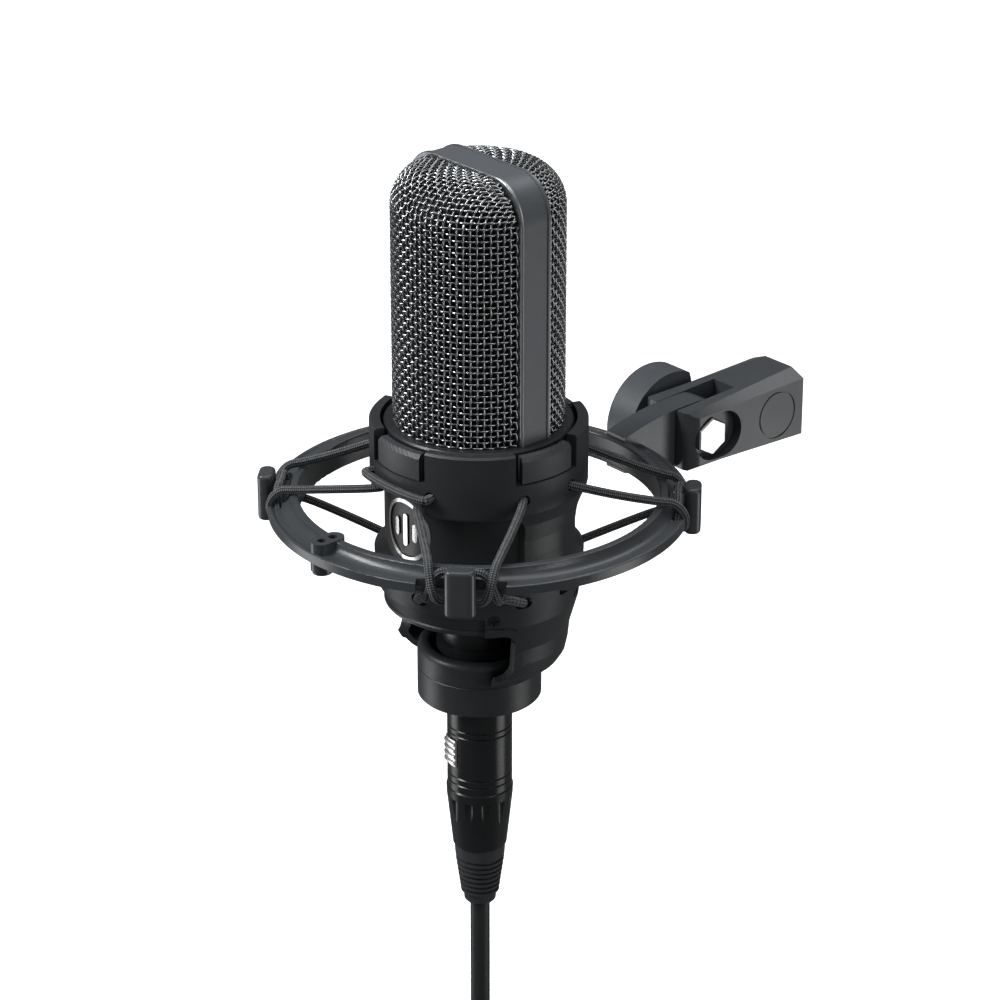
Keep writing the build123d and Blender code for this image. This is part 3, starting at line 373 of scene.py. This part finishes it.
def add_mesh(name, vertices, faces, slot, uvs=None):
    """New smooth-shaded piece from plain lists, finished in one of the record's slots."""
    mesh = bpy.data.meshes.new(name)
    mesh.from_pydata(vertices, [], faces)
    mesh.update()
    if uvs:
        layer = mesh.uv_layers.new(name="UVMap")
        for loop in mesh.loops:
            layer.data[loop.index].uv = uvs[loop.vertex_index]
    mesh.polygons.foreach_set("use_smooth", [True] * len(mesh.polygons))
    mesh.materials.append(PAINTS[slot])
    made = bpy.data.objects.new(name, mesh)
    bpy.context.collection.objects.link(made)
    return made


def tube_faces(rings, sides, first):
    """Quads between successive rings of vertices, and a cap on each end."""
    faces = []
    for ring in range(rings - 1):
        for side in range(sides):
            one = first + ring * sides + side
            two = first + ring * sides + (side + 1) % sides
            faces.append((one, two, two + sides, one + sides))
    faces.append(tuple(first + side for side in reversed(range(sides))))
    faces.append(tuple(first + (rings - 1) * sides + side for side in range(sides)))
    return faces


def cross_sections(points):
    """Each point with two directions square to the line there, carried along without twist."""
    normal = None
    for index, point in enumerate(points):
        ahead = points[min(index + 1, len(points) - 1)] - points[max(index - 1, 0)]
        ahead.normalize()
        if normal is None:
            normal = ahead.orthogonal().normalized()
        normal = (normal - ahead * normal.dot(ahead)).normalized()
        yield point, normal, ahead.cross(normal)


def smooth_curve(name, points, resolution):
    """Curve data with one second-degree NURBS line that starts and ends at the end points."""
    data = bpy.data.curves.new(name, "CURVE")
    data.dimensions = "3D"
    data.resolution_u = resolution
    spline = data.splines.new("NURBS")
    spline.points.add(len(points) - 1)
    for slot_point, point in zip(spline.points, points):
        slot_point.co = (*point, 1)
    spline.order_u = 3
    spline.use_endpoint_u = True
    return data


# ---------------------------------------------------------------- the lead, in millimetres and degrees
CABLE_D = 6.0
COIL_PITCH = 6.2
COIL_RADII = (39, 33, 27, 27, 33, 39, 39, 33, 27, 27, 33, 39, 45)  # one for each turn
COIL_COLUMN = (0, 0, 0, 1, 1, 1, 2, 2, 2, 3, 3, 3, 3)  # the layer that each turn lies in
COIL_START, COIL_STEP, SHIFT_ARC = 118.0, 22.5, 67.5
COIL_CENTRE = (-2.587, -241.212)  # across and up
DROP_HEIGHTS = (-112, -164, -184)
BEND_ACROSS, BEND_HEIGHT = -10.30, -201.14
TAIL_EASE = (12, 45)  # below the coil's centre
tail_low, tail_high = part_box("cable_tail")
TAIL = Vector(((tail_low[0] + tail_high[0]) / 2, (tail_low[1] + tail_high[1]) / 2, tail_low[2]))


def lead_points():
    """Control points of the lead: straight drop, bend, the wound turns and the tail."""
    points = [around(0, 0, height) for height in DROP_HEIGHTS]
    points.append(around(0, 0, BEND_HEIGHT) + Vector((BEND_ACROSS, 0, 0)) * MM)
    steps = round(360 / COIL_STEP)
    total = steps * len(COIL_RADII) + round((180 - COIL_START) / COIL_STEP)
    for step in range(total + 1):
        turn, part = divmod(step * COIL_STEP, 360)
        turn = min(int(turn), len(COIL_RADII) - 1)
        after = min(turn + 1, len(COIL_RADII) - 1)
        ease = 0.0 if turn == after else max(0.0, (part - 360 + SHIFT_ARC) / SHIFT_ARC)
        radius = COIL_RADII[turn] + (COIL_RADII[after] - COIL_RADII[turn]) * ease
        column = COIL_COLUMN[turn] + (COIL_COLUMN[after] - COIL_COLUMN[turn]) * ease
        angle = radians(COIL_START + step * COIL_STEP)
        points.append(AXIS + Vector((COIL_CENTRE[0] + radius * cos(angle), -COIL_PITCH * column,
                                     COIL_CENTRE[1] + radius * sin(angle))) * MM)
    points += [Vector((TAIL.x, TAIL.y, (COIL_CENTRE[1] - below) * MM)) for below in TAIL_EASE]
    points.append(TAIL)
    return points


def build_lead():
    points = lead_points()
    data = smooth_curve("lead_cable", points, 3)
    data.bevel_depth = CABLE_D / 2 * MM
    data.bevel_resolution = 4
    data.use_fill_caps = True
    data.materials.append(PAINTS["cable_jacket"])
    lead = bpy.data.objects.new("lead_cable", data)
    bpy.context.collection.objects.link(lead)
    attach(lead, "lead")
    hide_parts("cable_lead", "cable_coil", "cable_tail")
    tuple(points[0])


build_lead()

# ---------------------------------------------------------------- woven head
WIRE_R, WEAVE = 0.33, 0.32  # the wire's radius, and how far it swings to each side of the woven skin
WIRE_SIDES = 6
PITCH_ACROSS, PITCH_UP = 1.86, 1.75
ROWS, FIRST_ROW = 70, 0.3
FINE = 4  # samples between two crossings
INSIDE = WIRE_R + WEAVE + 0.03  # from the skin to the outside of the head
SIDE_LIMIT = (AXIS_Y - grille_high[1]) / MM + 0.07
HEAD_R = hypot((grille_high[0] - grille_low[0]) / 2 / MM, SIDE_LIMIT) - INSIDE
SHOULDER, SHOULDER_STEPS = 11.4, 60
HEAD_TOP = grille_high[2] / MM - INSIDE
HEAD_FOOT = grille_low[2] / MM


def head_profile(x):
    """Points and outward normals up one wire that stays at x, as (travel, point, normal) samples in mm."""
    y = sqrt(HEAD_R ** 2 - x ** 2)
    wall_top = HEAD_TOP - SHOULDER
    outward = (x / HEAD_R, -y / HEAD_R, 0.0)
    travel, last = wall_top - HEAD_FOOT, (x, -y, wall_top)
    samples = [(0.0, (x, -y, HEAD_FOOT), outward), (travel, last, outward)]
    for step in range(1, SHOULDER_STEPS + 1):
        angle = pi / 2 * step / SHOULDER_STEPS
        radius = HEAD_R - SHOULDER + SHOULDER * cos(angle)
        if radius ** 2 - x ** 2 <= SIDE_LIMIT ** 2:
            return samples
        y = sqrt(radius ** 2 - x ** 2)
        point = (x, -y, wall_top + SHOULDER * sin(angle))
        travel += hypot(point[1] - last[1], point[2] - last[2])
        normal = (cos(angle) * x / radius, -cos(angle) * y / radius, sin(angle))
        samples.append((travel, point, normal))
        last = point
    travel += -SIDE_LIMIT - last[1]
    samples.append((travel, (x, -SIDE_LIMIT, HEAD_TOP), (0, 0, 1)))
    return samples


def on_profile(samples, travel):
    """Point and normal at a travel along a profile, or None past its end."""
    if travel > samples[-1][0]:
        return None
    for (start, p, n), (end, q, m) in zip(samples, samples[1:]):
        if travel <= end:
            part = (travel - start) / (end - start)
            return (Vector(p).lerp(Vector(q), part), Vector(n).lerp(Vector(m), part).normalized())
    return None


def wire(points, vertices, faces):
    """Adds a round wire through points to the lists."""
    first = len(vertices)
    for point, normal, other in cross_sections(points):
        for side in range(WIRE_SIDES):
            angle = 2 * pi * side / WIRE_SIDES
            vertices.append(point + normal * (WIRE_R * cos(angle)) + other * (WIRE_R * sin(angle)))
    faces.extend(tube_faces(len(points), WIRE_SIDES, first))


def woven_half(name, facing, replaced):
    """One half of the head as crossing wires; facing is 1 for the front and -1 for the rear."""
    reach = acos((SIDE_LIMIT + WIRE_R) / HEAD_R)
    columns = round(reach * HEAD_R / PITCH_ACROSS)
    profiles = {}
    for fine in range(-columns * FINE, columns * FINE + 1):
        angle = reach * fine / (columns * FINE)
        profiles[fine] = head_profile(HEAD_R * sin(angle))
    vertices, faces = [], []
    for column in range(-columns, columns + 1):
        line = []
        for step in range(ROWS * FINE):
            spot = on_profile(profiles[column * FINE], FIRST_ROW + step * PITCH_UP / FINE)
            if spot is None:
                break
            lift = WEAVE * cos(pi * (step / FINE + column))
            line.append(spot[0] + spot[1] * lift)
        wire(line, vertices, faces)
    for row in range(ROWS):
        line = []
        for fine in range(-columns * FINE - 2, columns * FINE + 3):
            samples = profiles.get(fine)
            spot = on_profile(samples, FIRST_ROW + row * PITCH_UP) if samples else None
            if spot is None:
                if len(line) > 2:
                    wire(line, vertices, faces)
                line = []
                continue
            lift = -WEAVE * cos(pi * (fine / FINE + row))
            line.append(spot[0] + spot[1] * lift)
        if len(line) > 2:
            wire(line, vertices, faces)
    turned = [AXIS + Vector((facing * v.x, facing * v.y, v.z)) * MM for v in vertices]
    half = add_mesh(name, turned, faces, "woven_wire")
    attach(half, "microphone")
    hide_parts(replaced)


woven_half("woven_front", 1, "front_grille")
woven_half("woven_rear", -1, "rear_grille")

# ---------------------------------------------------------------- elastic cords, in millimetres and degrees
ELASTIC_R, ELASTIC_SIDES = 1.3, 18
BRAID_STEP, BRAID_ROUND = 1.2, 4  # length of one braid, and braids round the cord
BRAID_SWELL = 0.06  # part of the radius that the braid raises and lowers
RING_SPACING = 0.28
POSTS = (45, 135, 225, 315)


def smooth_path(points, spacing):
    """Evenly spaced points along a line rounded between given corners, and its length, in metres."""
    holder = bpy.data.objects.new("path", smooth_curve("path", points, 24))
    line = [v.co.copy() for v in bpy.data.meshes.new_from_object(holder).vertices]
    bpy.data.objects.remove(holder)
    travel = [0.0]
    for one, two in zip(line, line[1:]):
        travel.append(travel[-1] + (two - one).length)
    count = max(2, round(travel[-1] / spacing))
    even, spot = [], 0
    for step in range(count + 1):
        goal = travel[-1] * step / count
        while spot < len(travel) - 2 and travel[spot + 1] < goal:
            spot += 1
        part = (goal - travel[spot]) / max(travel[spot + 1] - travel[spot], 1e-9)
        even.append(line[spot].lerp(line[spot + 1], min(part, 1.0)))
    return even, travel[-1]


def braided(name, points):
    """Braided elastic cord: its surface swells where a strand of the sleeve comes to the top."""
    line, length = smooth_path(points, RING_SPACING * MM)
    vertices, uvs = [], []
    for index, (point, normal, other) in enumerate(cross_sections(line)):
        along = length * index / (len(line) - 1) / (BRAID_STEP * MM)
        for side in range(ELASTIC_SIDES):
            angle = 2 * pi * side / ELASTIC_SIDES
            round_turn = BRAID_ROUND * side / ELASTIC_SIDES
            swell = sin(2 * pi * (round_turn + along)) * sin(2 * pi * (round_turn - along))
            reach = ELASTIC_R * MM * (1 - BRAID_SWELL + BRAID_SWELL * swell)
            vertices.append(point + normal * (reach * cos(angle)) + other * (reach * sin(angle)))
            uvs.append((round_turn, along))
    return add_mesh(name, vertices, tube_faces(len(line), ELASTIC_SIDES, 0), "elastic", uvs)


def over_way(post, turn):
    """Route over the ring: out of an upper hole, across the ring and down the back of a post."""
    hole = post + turn * 29
    at_front = abs((hole + 180) % 360 - 180) < 45
    exit_r, exit_h, middle_h = (30.2, 9.7, 7.6) if at_front else (29.6, 12.5, 8.6)
    spots = ((42, 17.4, middle_h), (53.2, 10.6, 5.75), (57.4, 9.2, 5.4), (60.4, 7.9, 1.2), (60.0, 6.6, -3.8),
             (57.6, 3.4, -4.6), (57.4, 0, -4.6))
    return [around(exit_r, hole, exit_h), around(exit_r + 1.8, hole, exit_h - 0.1)], spots


def under_way(post, turn):
    """Route under the ring: out of a lower hole, below the ring and up to the back of a post."""
    hole = post + turn * 30
    spots = ((42, 19.3, -12.8), (53.2, 11.6, -5.75), (57.2, 10.0, -5.2), (57.8, 8.4, 0.0), (58.0, 6.4, 4.2),
             (57.6, 3.2, 4.6), (57.4, 0, 4.6))
    return [around(28.4, hole, -20), around(30.6, hole, -19.7)], spots


def suspension_cord(name, route, post, turn):
    """One cord from a hole in the cradle to the back of a post; turn is 1 or -1, the side of the post."""
    way, spots = route(post, turn)
    way += [around(radius, post + turn * degrees, height) for radius, degrees, height in spots]
    side = "left" if turn < 0 else "right"
    cord = braided(f"{name}_{post}_{side}", way)
    tuple(way[1])
    tuple(way[3])
    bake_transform(cord)
    return cord


over, under = ([suspension_cord(name, route, post, turn) for post in POSTS for turn in (-1, 1)]
               for name, route in (("cord_over", over_way), ("cord_under", under_way)))
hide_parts("upper_strands", "post_wraps")
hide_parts("lower_strands")


def bridge(name, corners, height):
    """Short run of cord along the cradle's skin between two holes, through (radius, azimuth) corners."""
    cord = braided(name, [around(radius, azimuth, height) for radius, azimuth in corners])
    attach(cord, "cradle")
    return cord


def skin_corners(side, radius, half_turn):
    """Corners of a bridge that lies on the round skin and dips into a hole at each end."""
    spread = ((-0.6, -1), (0, -0.97), (0.35, -0.6), (0.35, -0.2), (0.35, 0.2), (0.35, 0.6), (0, 0.97),
              (-0.6, 1))
    return [(radius + lift, side + half_turn * part) for lift, part in spread]


FRONT_CORNERS = ((28.5, -24.5), (33.6, -24.5), (34.0, -21), (33.2, -8), (33.2, 8), (34.0, 21), (33.6, 24.5),
                 (28.5, 24.5))
bridges = [bridge(f"cord_bridge_upper_{side}", skin_corners(side, 29.3, 15.5), 12.5)
           for side in (90, 180, 270)]
for side in (0, 90, 180, 270):
    bridge(f"cord_bridge_lower_{side}", skin_corners(side, 25.7, 15), -20)
bridge("cord_bridge_front", FRONT_CORNERS, 13.4)
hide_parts("cord_bridges")


# ---------------------------------------------------------------- floor and light
FLOOR_REACH = 30.0
FLOOR_HEIGHT = cad_box[0][2] - 0.045  # low enough for the lead's far connector when the lead is pulled out


def build_floor():
    """White floor that lights nothing and is not seen in reflections."""
    paint = Paint("floor", Roughness=0.9, Specular_IOR_Level=0.0)
    tone = paint.ramp(paint.noise(3, 2), 0.3, 0.7, grey(0.93), grey(0.95))
    paint.colour(tone)
    paint.join(tone, paint.shader.inputs["Emission Color"])
    paint.shader.inputs["Emission Strength"].default_value = 1.1
    signs = ((-1, -1), (1, -1), (1, 1), (-1, 1))
    corners = [(x * FLOOR_REACH, y * FLOOR_REACH, FLOOR_HEIGHT) for x, y in signs]
    mesh = bpy.data.meshes.new("floor")
    mesh.from_pydata(corners, [], [(0, 1, 2, 3)])
    mesh.materials.append(paint.material)
    floor = bpy.data.objects.new("floor", mesh)
    bpy.context.collection.objects.link(floor)
    floor.visible_glossy = False
    floor.visible_diffuse = False


def add_light(name, azimuth, elevation, distance, size, power):
    """Soft rectangular lamp aimed at the ring; azimuth and elevation as for the camera."""
    turn, rise = radians(azimuth), radians(elevation)
    way = Vector((sin(turn) * cos(rise), -cos(turn) * cos(rise), sin(rise)))
    data = bpy.data.lights.new(name, "AREA")
    data.shape = "RECTANGLE"
    data.size, data.size_y = size
    data.energy = power
    lamp = bpy.data.objects.new(name, data)
    lamp.location = AXIS + way * distance
    lamp.rotation_euler = (-way).to_track_quat("-Z", "Y").to_euler()
    bpy.context.collection.objects.link(lamp)


def add_sky():
    """Broad sun from straight above and an even white world."""
    sun = bpy.data.lights.new("sun", "SUN")
    sun.energy = 0.5
    sun.angle = radians(60)
    bpy.context.collection.objects.link(bpy.data.objects.new("sun", sun))
    world = bpy.data.worlds.new("world")
    world.use_nodes = True
    background = world.node_tree.nodes["Background"]
    background.inputs["Color"].default_value = (1, 1, 1, 1)
    background.inputs["Strength"].default_value = 0.13
    bpy.context.scene.world = world


LIGHTS = (  # name, azimuth, elevation, distance, size, power
    ("key", -30, 40, 1.1, (0.22, 0.7), 11.0),
    ("side", 96, 16, 1.1, (0.30, 0.7), 2.2),
    ("bounce_right", 130, -24, 1.1, (0.5, 0.4), 1.8),
    ("bounce_left", -50, -24, 1.1, (0.5, 0.4), 2.0),
    ("top", 60, 84, 1.0, (0.5, 0.5), 1.6),
    ("rear", 190, 55, 1.2, (0.4, 0.6), 2.0),
)

build_floor()
for light in LIGHTS:
    add_light(*light)
add_sky()
bpy.context.scene.view_settings.view_transform = "Standard"
